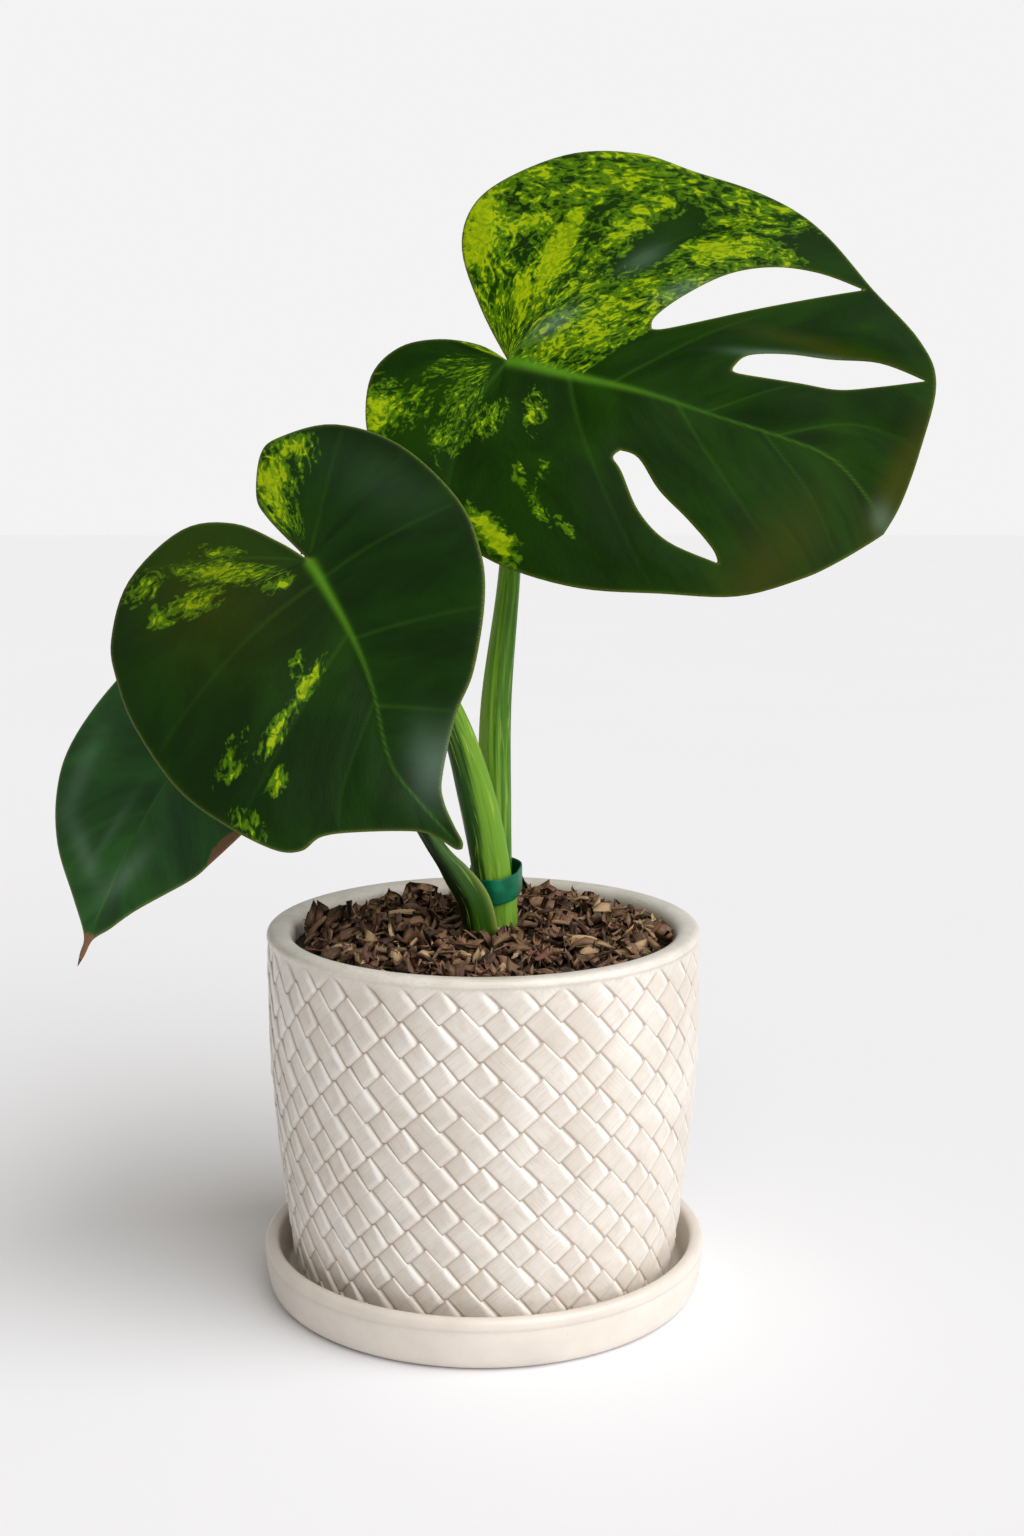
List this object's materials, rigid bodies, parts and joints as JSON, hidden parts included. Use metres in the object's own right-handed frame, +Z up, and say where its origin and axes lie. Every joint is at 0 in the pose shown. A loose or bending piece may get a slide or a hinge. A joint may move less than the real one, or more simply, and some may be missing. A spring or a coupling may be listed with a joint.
{
  "type": "potted monstera plant",
  "caption": "Variegated monstera with heart-shaped and split leaves on long stalks, in a plait-textured stoneware pot with bark mulch and a matching saucer.",
  "frame": {"origin": "centre of the saucer's flat underside, on the surface that it stands on", "axes": "+Z up, the way the plant grows; +X towards the side that the largest leaf reaches to; -Y towards the front, which the leaves face"},
  "size_m": [0.3197, 0.1704, 0.4242],
  "materials": {
    "glazed_stoneware": "satin cream glaze over stoneware, moulded with a diagonal plait on the pot, darker in the grooves",
    "potting_mix": "coarse dark potting mix, matte",
    "bark": "dry curled bark and leaf mulch, matte, brown with tan edges",
    "stem": "living stem, pale green, satin",
    "petiole": "living leaf stalk, ribbed, green with yellow streaks, satin",
    "leaf": "living leaf, dark green with yellow-green variegation, waxy satin",
    "tie_band": "soft green plant tie, satin"
  },
  "bodies": {
    "root": {"saucer": "glazed_stoneware", "pot": "glazed_stoneware", "potting_mix": "potting_mix", "stem": "stem", "upper_petiole": "petiole", "middle_petiole": "petiole", "lower_petiole": "petiole", "upper_leaf": "leaf", "middle_leaf": "leaf", "lower_leaf": "leaf", "plant_tie": "tie_band", "bark_chip_01": "bark", "bark_chip_02": "bark", "bark_chip_03": "bark", "bark_chip_04": "bark", "bark_chip_05": "bark", "bark_chip_06": "bark", "bark_chip_07": "bark", "bark_chip_08": "bark", "bark_chip_09": "bark", "bark_chip_10": "bark", "bark_chip_11": "bark", "bark_chip_12": "bark", "bark_chip_13": "bark", "bark_chip_14": "bark", "bark_chip_15": "bark", "bark_chip_16": "bark", "bark_chip_17": "bark", "bark_chip_18": "bark", "bark_chip_19": "bark", "bark_chip_20": "bark", "bark_chip_21": "bark", "bark_chip_22": "bark"}
  },
  "joints": []
}
